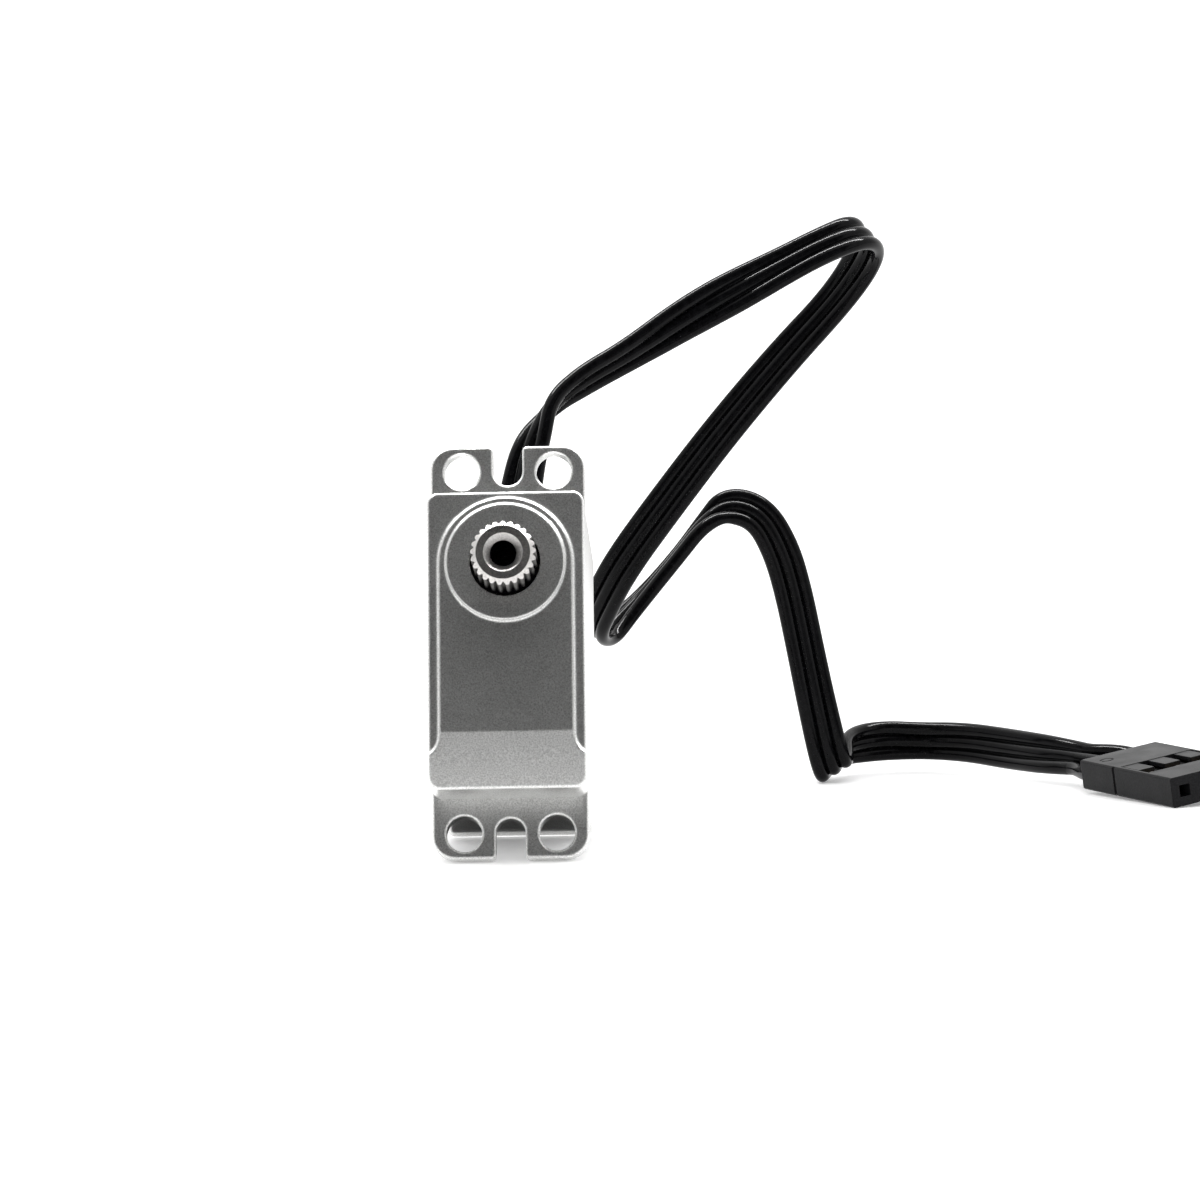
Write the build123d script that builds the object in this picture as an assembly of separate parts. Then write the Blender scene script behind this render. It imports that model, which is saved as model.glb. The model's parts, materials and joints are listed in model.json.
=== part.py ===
from build123d import *
from math import acos, atan2, cos, degrees, pi, radians, sin, tan
import os

# Micro servo motor. Every size is in millimetres.
# The servo is built in its own axes: X across the width, Y along the length toward the output end,
# Z along the output shaft. Its origin is the shaft axis at the front face of the mounting lugs.
# stand() then sets it down as it rests: on the lower lug and the rear bottom edge, leaning back.

# ---- case ----
CASE_WIDTH = 12.0
CASE_LENGTH = 23.0
CASE_END_TOP = 5.69
CASE_END_LOW = CASE_END_TOP - CASE_LENGTH
CASE_MID = (CASE_END_TOP + CASE_END_LOW) / 2
CASE_CORNER = 0.85
WALL = 0.9
CASE_REAR = -17.63
REAR_SPLIT = -13.2
LEDGE_HEIGHT = 4.7
PLATEAU_HEIGHT = 5.4
PLATEAU_HALF = 5.06
FLARE_START = -13.2
FLARE_END = -14.8
SLOPE_START = -13.04
SLOPE_DROP = 1.0
TOP_CAVITY = 3.7
EDGE = 0.12
LEDGE_FILLET = 0.36
RIM_FILLET = 0.22
SEAL_THICK = 0.25
SEAL_OUTER_INSET = 0.25
SEAL_INNER_INSET = 0.62

# ---- output boss and bearing seats ----
BOSS_RADIUS = 4.53
BOSS_HEIGHT = 0.43
BOSS_HOLE = 2.7
BOSS_FILLET = 0.2
BOSS_CHAMFER = 0.08
COLLAR_RADIUS = 4.55

# ---- mounting lugs ----
LUG_THICK = 1.5
LUG_LENGTH = 32.3
LUG_WIDTH = 11.92
LUG_CORNER = 1.75
LUG_HOLE = 2.75
LUG_HOLE_SPACING = 7.1
LUG_HOLE_PITCH = 28.4
SLOT_WIDTH = 2.28
SLOT_MOUTH = 0.35

# ---- case screws and columns ----
COLUMN_X = 4.5
COLUMN_INSET = 1.5
COLUMN_RADIUS = 1.15
SCREW_RADIUS = 0.7
SCREW_TOP = 3.0
SCREW_END = 2.8
SCREW_HEAD_RADIUS = 1.2
SCREW_HEAD_HEIGHT = 0.9
HEAD_POCKET = 1.05
HEAD_CLEARANCE = 0.05
HEAD_CHAMFER = 0.15
HEXAGON_RADIUS = 0.65
HEXAGON_DEPTH = 0.55

# ---- gear deck ----
DECK_TOP = -2.0
DECK_THICK = 1.0
DECK_REAR = DECK_TOP - DECK_THICK
PIN_SOCKET = 0.9
PIN_END_GAP = 0.1
PIN_CHAMFER = 0.15
MOTOR_PORT = 1.0
PIN_CEILING = TOP_CAVITY + 0.7

# ---- gears: teeth, module, and the two centre distances ----
PRESSURE = radians(20)
BACKLASH = 0.05
PINION_SHIFT = 0.4
ADDENDUM = 0.9
DEDENDUM = 1.2
IDLER_DISTANCE = 5.6
MOTOR_DISTANCE = 5.3
IDLER_Y = -IDLER_DISTANCE
MOTOR_Y = IDLER_Y - MOTOR_DISTANCE
STAGES = {
    "motor": (8, 45, 0.20),
    "first": (10, 34, 0.25),
    "second": (11, 33, 0.25),
    "third": (9, 28, 0.30),
}
PIN_RADIUS = 0.6
RUNNING_CLEARANCE = 0.03

# Each gear's lower and upper face.
MOTOR_PINION_FACES = (-1.75, -0.8)
FIRST_WHEEL_FACES = (-1.6, -1.1)
FIRST_PINION_FACES = (-1.1, -0.15)
SECOND_WHEEL_FACES = (-0.85, -0.25)
SECOND_PINION_FACES = (-0.25, 0.65)
THIRD_WHEEL_FACES = (0.0, 0.55)
THIRD_PINION_FACES = (0.55, 2.65)
OUTPUT_WHEEL_FACES = (0.9, 2.55)
WEB_HOLE_COUNT = 6
WEB_HOLE_RADIUS = 0.85
WEB_HOLE_CIRCLE = 2.75

# ---- output shaft ----
SPLINE_TEETH = 25
SPLINE_RADIUS = 2.49
SPLINE_DEPTH = 0.22
SPLINE_ROUNDING = 0.05
SHAFT_TIP = 9.09
SPLINE_START = 5.3
TIP_FACE_RADIUS = 2.07
HORN_BORE = 1.0
HORN_SINK = 1.5
HORN_DEPTH = 6.0
JOURNAL_RADIUS = 2.5
SHOULDER_RADIUS = 2.9
SHOULDER_LOW = 2.5
STUB_RADIUS = 0.75
STUB_END = -3.0
FLATTED_RADIUS = 0.6
FLATTED_END = -4.7
FLAT_DEPTH = 0.25

# ---- bearings: bore, outer radius, width, lower face, ball circle, ball radius, ball count ----
BEARINGS = {
    "upper": (2.5, 4.0, 2.5, 2.8, 3.25, 0.45, 14),
    "lower": (0.75, 2.0, 1.2, -3.0, 1.4, 0.3, 10),
}
BALL_PLAY = 0.02
RING_GAP = 0.55

# ---- motor ----
CAN_RADIUS = 4.8
CAN_WALL = 0.4
CAN_REAR = -14.2
CAN_FRONT_THICK = 0.6
CAN_CHAMFER = 0.2
MOTOR_SHAFT_RADIUS = 0.5
MOTOR_SHAFT_TIP = -0.6
CAN_INNER_FRONT = DECK_REAR - CAN_FRONT_THICK
MAGNET_RADIUS = 2.6
MAGNET_BORE = 0.9
MAGNET_REAR = CAN_REAR + 1.6
COIL_RADIUS = 3.8
COIL_INNER = 3.0
COIL_REAR = CAN_REAR + 0.8
COIL_FLOOR = 0.5
COIL_FRONT_GAP = 0.7
END_CAP_THICK = 0.5
END_BOSS_RADIUS = 2.0
END_BOSS_HEIGHT = 0.3
TERMINAL_X = 3.0
TERMINAL_SECTION = (0.4, 1.4)
MOTOR_SCREW_X = 3.1
MOTOR_SCREW_RADIUS = 0.55
MOTOR_SCREW_HOLE = 0.7
MOTOR_SCREW_GRIP = 0.5
MOTOR_HEAD_RADIUS = 1.0
MOTOR_HEAD_HEIGHT = 0.55
MOTOR_HEAD_CHAMFER = 0.12
MOTOR_SLOT = 0.25

# ---- position sensor ----
POT_RADIUS = 4.2
POT_TOP = -3.3
POT_REAR = -7.4
POT_WALL = 0.35
POT_FLOOR = 0.5
POT_LID = 0.4
POT_LID_HOLE = 1.1
POT_PIN = (0.6, 1.2)
POT_PIN_LENGTH = 1.0
POT_PIN_SPACING = 1.6
POT_PIN_Y = 2.4
TRACK_OUTER = 3.6
TRACK_INNER = 1.6
TRACK_THICK = 0.4
WIPER_HUB = 1.0
WIPER_DISC = 3.0
WIPER_DISC_FACES = (-5.2, -4.8)
WIPER_TOP = -3.1
WIPER_ARM = (0.5, 0.8)
WIPER_ARM_Y = 2.5
WIPER_ARM_GAP = 1.0

# ---- control board ----
BOARD_TOP = -14.9
BOARD_THICK = 0.8
BOARD_WIDTH = 9.8
BOARD_LENGTH = 17.0
BOARD_CORNER = 0.4
CHIP_THICK = 0.85
CHIPS = [(0, -11.0, 4.0, 4.0), (-2.4, -5.6, 2.4, 3.0), (2.4, -5.6, 2.4, 3.0), (0, -0.6, 3.0, 1.6)]
CAPACITOR_SIZE = (2.6, 4.0, 1.9)
CAPACITOR_PLACE = (2.8, -3.6)

# ---- lead: a flat three-conductor cord ----
CONDUCTOR = 1.15
CORD_WIDTH = 3 * CONDUCTOR
ARC_SHARE = 0.45
EXIT_Z = -11.8
EXIT_WIDTH = 4.6
EXIT_HEIGHT = 2.4
EXIT_CORNER = 0.6
GROMMET_LIP = 0.6
GROMMET_OVERLAP = 0.4
GROMMET_BACK = CASE_END_TOP - WALL - 0.2
EXIT_Y = CASE_END_TOP + GROMMET_LIP
WIRE_RADIUS = CONDUCTOR / 2 - 0.05
INNER_LEAD_DROP = 1.9
INNER_LEAD_BEND = 0.9

# ---- plug ----
PLUG_LENGTH = 14.0
PLUG_WIDTH = 7.62
PLUG_HEIGHT = 2.5
PLUG_PITCH = 2.54
SOCKET = 1.0
SOCKET_DEPTH = 1.2
CAVITY_WIDTH = 1.75
CAVITY_HEIGHT = 1.7
PLUG_CHAMFER = 0.15
GROOVE_AT = 5.0
GROOVE_WIDTH = 0.35
GROOVE_DEPTH = 0.12
WINDOW_WIDTH = 6.9
WINDOW_DEPTH = 0.55
WINDOW_ENDS = (5.8, 10.2)
LATCH_WIDTH = 1.5
LATCH_THICK = 0.36
LATCH_SINK = 0.04
LATCH_END = 8.4
MARK_PLACE = (-2.54, 2.2)
MARK_RADIUS = 0.6
MARK_LINE = 0.18
MARK_DEPTH = 0.06
TERMINAL_START = 2.2
TERMINAL_END = PLUG_LENGTH - 1.4
TERMINAL_OUTER = 1.5
TERMINAL_INNER = 0.8
PLUG_YAW = 28.0
PLUG_DROP = 1.4
PLUG_ROLL = 8.5
PLUG_REAR_CENTRE = (49.28, 33.25, 2.15)

# Two heights or lengths this close are the same.
TOUCHING = 1e-4

# ---- stance ----
LUG_END = CASE_MID - LUG_LENGTH / 2
LEAN = degrees(atan2(CASE_END_LOW - LUG_END, -CASE_REAR - LUG_THICK))

# The lead's route, from the grommet to the plug, as the servo stands.
ROUTE = [
    (0.6, 9.75, 28.3), (1.31, 11.04, 31.4), (2.75, 12.64, 34.3), (5.4, 14.1, 36.6),
    (9.1, 15.24, 38.4), (14.53, 16.24, 41.3), (20.78, 17.04, 44.3), (25.5, 17.9, 46.7),
    (29.0, 20.2, 47.6), (30.3, 24.2, 46.2), (27.9, 26.2, 42.4), (22.75, 26.44, 37.1),
    (16.87, 27.24, 31.0), (11.44, 28.24, 24.8), (8.0, 29.44, 20.2), (6.3, 31.24, 16.6),
    (5.6, 34.4, 13.3), (6.8, 38.6, 13.1), (9.0, 40.4, 16.5), (11.6, 40.3, 20.2),
    (14.0, 40.4, 23.3), (16.4, 40.6, 26.3), (20.3, 41.0, 26.2), (22.5, 41.5, 22.4), (22.6, 42.0, 17.4),
    (23.35, 42.24, 11.8), (24.1, 42.8, 7.0), (24.9, 44.1, 3.3), (26.4, 47.3, 1.75),
    (29.5, 50.1, 2.1), (33.6, 50.0, 2.6), (37.2, 47.6, 2.75), (40.4, 44.2, 2.6),
    (43.4, 40.5, 2.35), (47.0, 37.5, 2.2),
]


def cylinder(radius, low, high, x=0.0, y=0.0):
    """An upright cylinder between two heights."""
    return Pos(x, y, low) * extrude(Circle(radius), high - low)


def ring(outer, inner, low, high, x=0.0, y=0.0):
    """An upright ring between two heights."""
    return cylinder(outer, low, high, x, y) - cylinder(inner, low - 1, high + 1, x, y)


def block(width, length, low, high, x=0.0, y=0.0, corner=0.0):
    """An upright rectangular block, with rounded corners where asked."""
    plan = RectangleRounded(width, length, corner) if corner else Rectangle(width, length)
    return Pos(x, y, low) * extrude(plan, high - low)


def case_block(low, high, inset=0.0):
    """The case's plan shape between two heights, stepped in all round by an inset."""
    corner = max(CASE_CORNER - inset, 0.3)
    return block(CASE_WIDTH - 2 * inset, CASE_LENGTH - 2 * inset, low, high, 0, CASE_MID, corner)


def column_places():
    """The four screw columns, in the corners of the case."""
    rows = (CASE_END_LOW + COLUMN_INSET, CASE_END_TOP - COLUMN_INSET)
    return [(side * COLUMN_X, row) for row in rows for side in (-1, 1)]


def columns(radius, low, high):
    """Four equal cylinders on the screw axes."""
    return [cylinder(radius, low, high, x, y) for x, y in column_places()]


def edges_at(shape, height):
    """The edges that lie flat at one height."""
    def flat(edge):
        box = edge.bounding_box()
        return max(abs(box.min.Z - height), abs(box.max.Z - height)) < TOUCHING

    return shape.edges().filter_by(flat)


# ---------------------------------------------------------------- case

def ledge_cutter():
    """The space beside the raised face. It leaves straight sides, a round end and a flared lower end."""
    wide = CASE_WIDTH
    step, fall = CASE_WIDTH / 2 - PLATEAU_HALF, FLARE_START - FLARE_END
    turn = 2 * atan2(step, fall)
    bend = fall / sin(turn)
    flare = (PLATEAU_HALF + bend * (1 - cos(turn / 2)), FLARE_START - bend * sin(turn / 2))
    run_out = (wide, FLARE_END - (wide - CASE_WIDTH / 2) / tan(turn))
    right = [
        Line((PLATEAU_HALF, 0), (PLATEAU_HALF, FLARE_START)),
        ThreePointArc((PLATEAU_HALF, FLARE_START), flare, (CASE_WIDTH / 2, FLARE_END)),
        Line((CASE_WIDTH / 2, FLARE_END), run_out),
        Line(run_out, (wide, wide)),
    ]
    left = [edge.mirror(Plane.YZ) for edge in right]
    crown = ThreePointArc((-PLATEAU_HALF, 0), (0, PLATEAU_HALF), (PLATEAU_HALF, 0))
    plan = make_face(Wire([crown] + right + [Line((wide, wide), (-wide, wide))] + left))
    cutter = Pos(0, 0, LEDGE_HEIGHT) * extrude(plan, 2)
    foot = []
    for edge in edges_at(cutter, LEDGE_HEIGHT):
        middle = edge.center()
        if max(abs(middle.X), middle.Y) < wide - TOUCHING:
            foot.append(edge)
    return fillet(foot, LEDGE_FILLET)


def slope_cutter():
    """The wedge above the sloping lower end of the face."""
    low_end = CASE_END_LOW - 1
    fall = SLOPE_DROP * (SLOPE_START - low_end) / (SLOPE_START - CASE_END_LOW)
    side = Polyline(
        (SLOPE_START, PLATEAU_HEIGHT), (low_end, PLATEAU_HEIGHT - fall),
        (low_end, PLATEAU_HEIGHT + 1), (SLOPE_START, PLATEAU_HEIGHT + 1), close=True,
    )
    return Pos(-CASE_WIDTH, 0, 0) * extrude(Plane.YZ * make_face(side), 2 * CASE_WIDTH)


def rim(body):
    """The edges round the top of the case's outer wall."""
    within = case_block(0, PLATEAU_HEIGHT + 1, TOUCHING)
    edges = []
    for edge in body.edges():
        inner = any(within.is_inside(edge @ part) for part in (0, 0.5, 1))
        if edge.bounding_box().min.Z > TOP_CAVITY and not inner:
            edges.append(edge)
    return edges


def top_case():
    body = case_block(0, PLATEAU_HEIGHT) - ledge_cutter() - slope_cutter()
    body = fillet(rim(body), RIM_FILLET)
    body += cylinder(BOSS_RADIUS, LEDGE_HEIGHT, PLATEAU_HEIGHT + BOSS_HEIGHT)
    around = 2 * pi * BOSS_RADIUS
    root = [edge for edge in edges_at(body, PLATEAU_HEIGHT) if abs(edge.length - around) < TOUCHING]
    body = fillet(root, BOSS_FILLET)
    body = chamfer(edges_at(body, PLATEAU_HEIGHT + BOSS_HEIGHT), BOSS_CHAMFER)

    cavity = case_block(-1, TOP_CAVITY, WALL)
    for column in columns(COLUMN_RADIUS, -1, TOP_CAVITY + 1):
        cavity -= column
    _, outer, width, low = BEARINGS["upper"][:4]
    cavity -= cylinder(COLLAR_RADIUS, low, PLATEAU_HEIGHT)
    body -= cavity
    body -= cylinder(outer, low - 1, low + width)
    body -= cylinder(BOSS_HOLE, low, PLATEAU_HEIGHT + 1)
    body -= cylinder(PIN_RADIUS, TOP_CAVITY - 1, PIN_CEILING + PIN_END_GAP, 0, IDLER_Y)
    for hole in columns(SCREW_RADIUS, -1, SCREW_TOP):
        body -= hole
    return body - seal_ring(0, SEAL_THICK)


def lug_plate():
    """The flat plate whose two ends are the mounting lugs."""
    plate = block(LUG_WIDTH, LUG_LENGTH, -LUG_THICK, 0, 0, CASE_MID, LUG_CORNER)
    for end in (-1, 1):
        row = CASE_MID + end * LUG_HOLE_PITCH / 2
        tip = CASE_MID + end * LUG_LENGTH / 2
        for side in (-1, 1):
            plate -= cylinder(LUG_HOLE / 2, -2 * LUG_THICK, 1, side * LUG_HOLE_SPACING / 2, row)
        plate -= cylinder(SLOT_WIDTH / 2, -2 * LUG_THICK, 1, 0, row)
        plate -= block(SLOT_WIDTH, LUG_LENGTH, -2 * LUG_THICK, 1, 0, row + end * LUG_LENGTH / 2)
        mouth = []
        for edge in plate.edges().filter_by(Axis.Z):
            middle = edge.center()
            if max(abs(abs(middle.X) - SLOT_WIDTH / 2), abs(middle.Y - tip)) < TOUCHING:
                mouth.append(edge)
        plate = fillet(mouth, SLOT_MOUTH)
    plate = chamfer(edges_at(plate, 0), EDGE)
    return chamfer(edges_at(plate, -LUG_THICK), EDGE)


def exit_opening(low, high):
    """The opening for the lead in the output-end wall, between two distances along the case."""
    plan = RectangleRounded(EXIT_WIDTH, EXIT_HEIGHT, EXIT_CORNER)
    return Pos(0, low, EXIT_Z) * Rot(-90, 0, 0) * extrude(plan, high - low)


def middle_case():
    body = case_block(REAR_SPLIT, 0) + lug_plate()
    below = case_block(REAR_SPLIT - 1, DECK_REAR, WALL)
    above = case_block(DECK_TOP, 1, WALL)
    for column in columns(COLUMN_RADIUS, REAR_SPLIT - 2, 2):
        below -= column
        above -= column
    body -= below
    body -= above
    for hole in columns(SCREW_RADIUS, REAR_SPLIT - 1, 1):
        body -= hole
    _, outer, _, low = BEARINGS["lower"][:4]
    body -= cylinder(outer, low - 1, DECK_TOP + 1)
    body -= cylinder(PIN_RADIUS, DECK_TOP - PIN_SOCKET, DECK_TOP + 1, 0, IDLER_Y)
    body -= cylinder(MOTOR_PORT, DECK_REAR - 1, DECK_TOP + 1, 0, MOTOR_Y)
    for side in (-1, 1):
        body -= cylinder(MOTOR_SCREW_HOLE, DECK_REAR - 1, DECK_TOP + 1, side * MOTOR_SCREW_X, MOTOR_Y)
    return body - exit_opening(CASE_END_TOP - 2, CASE_END_TOP + 2)


def bottom_case():
    body = case_block(CASE_REAR, REAR_SPLIT)
    body = chamfer(edges_at(body, CASE_REAR), 2 * EDGE)
    cavity = case_block(CASE_REAR + WALL, REAR_SPLIT + 1, WALL)
    for column in columns(COLUMN_RADIUS, CASE_REAR, REAR_SPLIT + 2):
        cavity -= column
    body -= cavity
    for hole in columns(SCREW_RADIUS, CASE_REAR - 1, REAR_SPLIT + 1):
        body -= hole
    for pocket in columns(SCREW_HEAD_RADIUS + HEAD_CLEARANCE, CASE_REAR - 1, CASE_REAR + HEAD_POCKET):
        body -= pocket
    return body - seal_ring(REAR_SPLIT - SEAL_THICK, REAR_SPLIT)


def seal_ring(low, high):
    """A flat gasket that follows the case wall."""
    return case_block(low, high, SEAL_OUTER_INSET) - case_block(low - 1, high + 1, SEAL_INNER_INSET)


def case_screws():
    screws = []
    head_low = CASE_REAR + HEAD_POCKET - SCREW_HEAD_HEIGHT
    for x, y in column_places():
        screw = cylinder(SCREW_RADIUS, head_low, SCREW_END, x, y)
        head = cylinder(SCREW_HEAD_RADIUS, head_low, head_low + SCREW_HEAD_HEIGHT, x, y)
        screw += chamfer(edges_at(head, head_low), HEAD_CHAMFER)
        hexagon = extrude(RegularPolygon(HEXAGON_RADIUS, 6), HEXAGON_DEPTH)
        screws.append(screw - Pos(x, y, head_low) * hexagon)
    return screws


# ---------------------------------------------------------------- gears

def involute(angle):
    return tan(angle) - angle


def gear_outline(teeth, module, shift, phase):
    """A spur gear's face. Phase, in degrees, is the direction of the middle of one tooth."""
    pitch = teeth * module / 2
    base = pitch * cos(PRESSURE)
    tip = pitch + module * (ADDENDUM + shift)
    root = pitch - module * (DEDENDUM - shift)
    thickness = module * (pi / 2 + 2 * shift * tan(PRESSURE)) - BACKLASH
    at_base = thickness / (2 * pitch) + involute(PRESSURE)

    def flank(radius):
        return at_base - involute(acos(min(base / radius, 1)))

    start = max(base, root)
    middle = (start + tip) / 2

    def point(radius, angle):
        return (radius * cos(angle), radius * sin(angle))

    edges = []
    step = 2 * pi / teeth
    for number in range(teeth):
        axis = radians(phase) + number * step
        low, high = axis - flank(start), axis + flank(start)
        next_low = low + step
        if root < base:
            edges.append(Line(point(root, low), point(base, low)))
            edges.append(Line(point(base, high), point(root, high)))
        tip_low, tip_high = point(tip, axis - flank(tip)), point(tip, axis + flank(tip))
        edges.append(ThreePointArc(point(start, low), point(middle, axis - flank(middle)), tip_low))
        edges.append(ThreePointArc(tip_low, point(tip, axis), tip_high))
        edges.append(ThreePointArc(tip_high, point(middle, axis + flank(middle)), point(start, high)))
        gap = point(root, (high + next_low) / 2)
        edges.append(ThreePointArc(point(root, high), gap, point(root, next_low)))
    return make_face(Wire(edges))


def centre_shift(stage):
    """The sum of the two profile shifts that fits a stage to its centre distance."""
    small, large, module = STAGES[stage]
    distance = MOTOR_DISTANCE if stage == "motor" else IDLER_DISTANCE
    return (distance - (small + large) * module / 2) / module


def pinion(stage, low, high, toward):
    """The small gear of a stage, with a tooth pointing at its mate."""
    small, _, module = STAGES[stage]
    return Pos(0, 0, low) * extrude(gear_outline(small, module, PINION_SHIFT, toward), high - low)


def wheel(stage, low, high, toward):
    """The large gear of a stage, with a gap facing its mate."""
    _, large, module = STAGES[stage]
    shift = centre_shift(stage) - PINION_SHIFT
    return Pos(0, 0, low) * extrude(gear_outline(large, module, shift, toward + 180 / large), high - low)


def web_holes(low, high):
    """The ring of round holes that lightens a wheel's web."""
    holes = []
    for number in range(WEB_HOLE_COUNT):
        angle = 2 * pi * number / WEB_HOLE_COUNT
        x, y = WEB_HOLE_CIRCLE * cos(angle), WEB_HOLE_CIRCLE * sin(angle)
        holes.append(cylinder(WEB_HOLE_RADIUS, low - 1, high + 1, x, y))
    return holes


def pin_bore(radius):
    """The running bore through a gear that turns on a pin or stub of this radius."""
    return cylinder(radius + RUNNING_CLEARANCE, DECK_TOP, TOP_CAVITY)


UP, DOWN = 90, -90


def first_gear():
    gear = wheel("motor", *FIRST_WHEEL_FACES, DOWN)
    for hole in web_holes(*FIRST_WHEEL_FACES):
        gear -= hole
    gear += pinion("first", *FIRST_PINION_FACES, UP)
    return Pos(0, IDLER_Y, 0) * (gear - pin_bore(PIN_RADIUS))


def second_gear():
    gear = wheel("first", *SECOND_WHEEL_FACES, DOWN) + pinion("second", *SECOND_PINION_FACES, DOWN)
    return gear - pin_bore(STUB_RADIUS)


def third_gear():
    gear = wheel("second", *THIRD_WHEEL_FACES, UP) + pinion("third", *THIRD_PINION_FACES, UP)
    return Pos(0, IDLER_Y, 0) * (gear - pin_bore(PIN_RADIUS))


def spline_outline():
    """Round-topped teeth with narrow flat roots between them."""
    points = []
    step = 360 / SPLINE_TEETH
    root, shoulder = SPLINE_RADIUS - SPLINE_DEPTH, SPLINE_RADIUS - SPLINE_ROUNDING
    half_tooth = [(root, 0.44), (shoulder, 0.24), (SPLINE_RADIUS, 0.1)]
    tooth = [(radius, -part) for radius, part in half_tooth] + half_tooth[::-1]
    for number in range(SPLINE_TEETH):
        for radius, part in tooth:
            angle = radians(UP + (number + part) * step)
            points.append((radius * cos(angle), radius * sin(angle)))
    return make_face(Polyline(*points, close=True))


def revolved(points):
    """A solid of revolution about the shaft axis, from (radius, height) points."""
    profile = Plane.XZ * make_face(Polyline(*points, close=True))
    return revolve(profile, Axis.Z)


def tip_cone():
    """The space that the chamfered tip of the spline stays inside."""
    wide = SPLINE_RADIUS + 1
    corner = SHAFT_TIP - (wide - TIP_FACE_RADIUS)
    return revolved([(0, 0), (wide, 0), (wide, corner), (TIP_FACE_RADIUS, SHAFT_TIP), (0, SHAFT_TIP)])


def horn_sink():
    """The countersink at the mouth of the horn screw's hole."""
    low, high = SHAFT_TIP - (HORN_SINK - HORN_BORE), SHAFT_TIP + 1
    return revolved([(0, low), (HORN_BORE, low), (HORN_SINK, SHAFT_TIP), (HORN_SINK, high), (0, high)])


def flatted_end(low, high):
    """The shaft's lower end, flattened on one side so that it turns the sensor."""
    side = 4 * FLATTED_RADIUS
    flat = block(side, side, low - 1, high + 1, 0, FLATTED_RADIUS - FLAT_DEPTH + side / 2)
    return cylinder(FLATTED_RADIUS, low, high) - flat


def output_shaft():
    spline = Pos(0, 0, SPLINE_START) * extrude(spline_outline(), SHAFT_TIP - SPLINE_START)
    shaft = (spline & tip_cone()) + cylinder(JOURNAL_RADIUS, SHOULDER_LOW, SPLINE_START)
    shaft += wheel("third", *OUTPUT_WHEEL_FACES, DOWN)
    shaft += cylinder(SHOULDER_RADIUS, SHOULDER_LOW, BEARINGS["upper"][3])
    shaft += cylinder(STUB_RADIUS, STUB_END, OUTPUT_WHEEL_FACES[1])
    shaft += flatted_end(FLATTED_END, STUB_END)
    shaft -= cylinder(HORN_BORE, SHAFT_TIP - HORN_DEPTH, SHAFT_TIP + 1)
    return shaft - horn_sink()


def gear_pin():
    pin = cylinder(PIN_RADIUS, DECK_TOP - PIN_SOCKET, PIN_CEILING, 0, IDLER_Y)
    return chamfer(edges_at(pin, PIN_CEILING), PIN_CHAMFER)


# ---------------------------------------------------------------- bearings

def race_groove(name):
    """The torus that the balls run in, a little larger than the balls."""
    _, _, width, low, circle, ball, _ = BEARINGS[name]
    return Pos(0, 0, low + width / 2) * Torus(circle, ball + BALL_PLAY)


def bearing_outer(name):
    _, outer, width, low, circle, ball, _ = BEARINGS[name]
    return ring(outer, circle + RING_GAP * ball, low, low + width) - race_groove(name)


def bearing_inner(name):
    bore, _, width, low, circle, ball, _ = BEARINGS[name]
    return ring(circle - RING_GAP * ball, bore, low, low + width) - race_groove(name)


def bearing_balls(name):
    _, _, width, low, circle, ball, count = BEARINGS[name]
    angles = [2 * pi * number / count for number in range(count)]
    return [Pos(circle * cos(a), circle * sin(a), low + width / 2) * Sphere(ball) for a in angles]


# ---------------------------------------------------------------- motor

def at_motor(shape):
    return Pos(0, MOTOR_Y, 0) * shape


def motor_can():
    can = cylinder(CAN_RADIUS, CAN_REAR, DECK_REAR)
    can = chamfer(edges_at(can, DECK_REAR), CAN_CHAMFER)
    can -= cylinder(CAN_RADIUS - CAN_WALL, CAN_REAR - 1, CAN_INNER_FRONT)
    can -= cylinder(MOTOR_SHAFT_RADIUS + RUNNING_CLEARANCE, CAN_REAR, DECK_REAR + 1)
    for side in (-1, 1):
        can -= cylinder(MOTOR_SCREW_RADIUS, CAN_REAR, DECK_REAR + 1, side * MOTOR_SCREW_X, 0)
    return at_motor(can)


def motor_magnet():
    return at_motor(ring(MAGNET_RADIUS, MAGNET_BORE, MAGNET_REAR, CAN_INNER_FRONT))


def motor_coil():
    """The winding: a thin cup, carried by the shaft at its rear end."""
    cup = ring(COIL_RADIUS, COIL_INNER, COIL_REAR, CAN_INNER_FRONT - COIL_FRONT_GAP)
    return at_motor(cup + ring(COIL_RADIUS, MOTOR_SHAFT_RADIUS, COIL_REAR, COIL_REAR + COIL_FLOOR))


def motor_shaft():
    return at_motor(cylinder(MOTOR_SHAFT_RADIUS, CAN_REAR + END_CAP_THICK + PIN_END_GAP, MOTOR_SHAFT_TIP))


def motor_pinion():
    gear = pinion("motor", *MOTOR_PINION_FACES, UP)
    return at_motor(gear - cylinder(MOTOR_SHAFT_RADIUS, DECK_REAR, 0))


def motor_end_cap():
    cap = cylinder(CAN_RADIUS - CAN_WALL, CAN_REAR, CAN_REAR + END_CAP_THICK)
    return at_motor(cap + cylinder(END_BOSS_RADIUS, CAN_REAR - END_BOSS_HEIGHT, CAN_REAR))


def motor_terminals():
    width, length = TERMINAL_SECTION
    return [at_motor(block(width, length, BOARD_TOP, CAN_REAR, side * TERMINAL_X)) for side in (-1, 1)]


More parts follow.
